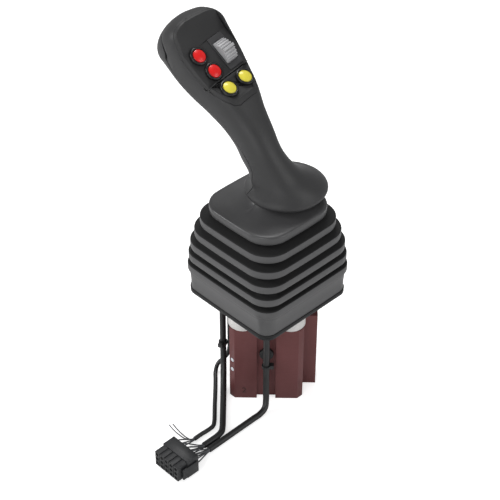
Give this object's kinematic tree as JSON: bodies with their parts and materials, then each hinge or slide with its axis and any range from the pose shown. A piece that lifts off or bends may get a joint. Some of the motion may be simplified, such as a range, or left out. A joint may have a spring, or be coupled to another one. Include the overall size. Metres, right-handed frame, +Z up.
{
  "type": "hydraulic pilot control joystick",
  "caption": "Hydraulic pilot joystick: grooved valve block with plungers, square bellows boot, leaning ergonomic grip with push buttons, thumb wheel and enable paddle, wired to a connector.",
  "frame": {"origin": "centre of the valve block's underside, on the joystick's vertical axis", "axes": "+Z up along the lever axis at rest, -Y towards the operator, +X to the operator's right"},
  "size_m": [0.1963, 0.1612, 0.3284],
  "materials": {
    "block_red": "satin anodised red-brown, fine sanded grain",
    "guide_white": "pale moulded bushes",
    "seal_black": "matte",
    "ball_steel": "bright",
    "flange_black": "black coated",
    "zinc_steel": "zinc plated",
    "forged_steel": "machined",
    "ground_steel": "ground",
    "boot_rubber": "satin rubber",
    "collar_plastic": "matte",
    "grip_plastic": "fine spark-eroded satin",
    "rear_plastic": "fine spark-eroded satin",
    "panel_plastic": "satin",
    "board_green": "solder resist",
    "switch_dark": "matte",
    "bezel_black": "semi gloss",
    "button_red": "smooth",
    "button_yellow": "smooth",
    "wheel_grey": "light grey ribbed",
    "cable_black": "PVC sheath",
    "tie_nylon": "nylon",
    "core_wire": "PVC insulated wire",
    "connector_nylon": "glass-filled nylon",
    "contact_brass": "tin-brass terminals"
  },
  "bodies": {
    "base": {"valve_block": "block_red", "plunger_guides": "guide_white", "wiper_seals": "seal_black", "ball_plugs": "ball_steel", "flange_plate": "flange_black", "flange_screws": "zinc_steel", "lower_yoke": "forged_steel", "yoke_screws": "zinc_steel", "boot_skirt": "boot_rubber", "boot_lower_bellows": "boot_rubber", "tie_mounts": "tie_nylon", "cable_ties": "tie_nylon", "cable_glands": "cable_black", "cable_main": "cable_black", "cable_side": "cable_black", "cable_lead": "cable_black", "core_wires": "core_wire", "connector_housing": "connector_nylon", "connector_latches": "connector_nylon", "connector_contacts": "contact_brass"},
    "plunger_1": {"plunger_1": "ground_steel"},
    "plunger_2": {"plunger_2": "ground_steel"},
    "plunger_3": {"plunger_3": "ground_steel"},
    "plunger_4": {"plunger_4": "ground_steel"},
    "gimbal": {"joint_cross": "ground_steel", "boot_upper_bellows": "boot_rubber"},
    "lever": {"upper_yoke": "forged_steel", "actuator_plate": "forged_steel", "plate_nut": "zinc_steel", "lever_rod": "ground_steel", "boot_top": "boot_rubber", "boot_collar": "collar_plastic", "grip_core": "collar_plastic", "front_shell": "grip_plastic", "rear_shell": "rear_plastic", "shell_screws": "zinc_steel", "lower_panel": "panel_plastic", "upper_panel": "panel_plastic", "circuit_board": "board_green", "switch_modules": "switch_dark", "button_bezels": "bezel_black", "wheel_housing": "panel_plastic", "paddle_pin": "zinc_steel"},
    "button_red_upper": {"button_red_upper": "button_red"},
    "button_red_lower": {"button_red_lower": "button_red"},
    "button_yellow_left": {"button_yellow_left": "button_yellow"},
    "button_yellow_right": {"button_yellow_right": "button_yellow"},
    "thumb_wheel": {"thumb_wheel": "wheel_grey"},
    "enable_paddle": {"enable_paddle": "rear_plastic"}
  },
  "joints": [
    {"name": "tilt_forward", "type": "hinge", "parent": "base", "child": "gimbal", "pos_m": [0, 0, 0.1118], "axis": [1, 0, 0], "range_deg": [-18, 18], "stiffness_Nm_per_rad": 6, "deforming": ["boot_upper_bellows", "boot_lower_bellows"]},
    {"name": "tilt_side", "type": "hinge", "parent": "gimbal", "child": "lever", "pos_m": [0, 0, 0.1118], "axis": [0, 1, 0], "range_deg": [-18, 18], "stiffness_Nm_per_rad": 6, "deforming": ["boot_upper_bellows"]},
    {"name": "plunger_1_stroke", "type": "slide", "parent": "base", "child": "plunger_1", "axis": [0, 0, 1], "range_m": [-0.00931, 0.00931]},
    {"name": "plunger_3_stroke", "type": "slide", "parent": "base", "child": "plunger_3", "axis": [0, 0, 1], "range_m": [-0.00931, 0.00931]},
    {"name": "plunger_4_stroke", "type": "slide", "parent": "base", "child": "plunger_4", "axis": [0, 0, 1], "range_m": [-0.00931, 0.00931]},
    {"name": "plunger_2_stroke", "type": "slide", "parent": "base", "child": "plunger_2", "axis": [0, 0, 1], "range_m": [-0.00931, 0.00931]},
    {"name": "press_red_upper", "type": "slide", "parent": "lever", "child": "button_red_upper", "axis": [0, 0.6347, -0.7727], "range_m": [0, 0.002], "stiffness_N_per_m": 800},
    {"name": "press_red_lower", "type": "slide", "parent": "lever", "child": "button_red_lower", "axis": [0, 0.6347, -0.7727], "range_m": [0, 0.002], "stiffness_N_per_m": 800},
    {"name": "press_yellow_left", "type": "slide", "parent": "lever", "child": "button_yellow_left", "axis": [0, 0.4478, -0.8942], "range_m": [0, 0.002], "stiffness_N_per_m": 800},
    {"name": "press_yellow_right", "type": "slide", "parent": "lever", "child": "button_yellow_right", "axis": [0, 0.4478, -0.8942], "range_m": [0, 0.002], "stiffness_N_per_m": 800},
    {"name": "wheel_roll", "type": "hinge", "parent": "lever", "child": "thumb_wheel", "pos_m": [0.01005, 0.06316, 0.29865], "axis": [0.9903, 0.1075, 0.0883], "range_deg": [-25, 25], "stiffness_Nm_per_rad": 0.05},
    {"name": "paddle_squeeze", "type": "hinge", "parent": "lever", "child": "enable_paddle", "pos_m": [-0.001, 0.09102, 0.29015], "axis": [-1, 0, 0], "range_deg": [0, 5], "stiffness_Nm_per_rad": 2}
  ],
  "couplings": [
    {"joint": "plunger_1_stroke", "follows": "tilt_side", "m_per_rad": -0.0296},
    {"joint": "plunger_3_stroke", "follows": "tilt_side", "m_per_rad": 0.0296},
    {"joint": "plunger_4_stroke", "follows": "tilt_forward", "m_per_rad": 0.0296},
    {"joint": "plunger_2_stroke", "follows": "tilt_forward", "m_per_rad": -0.0296}
  ]
}
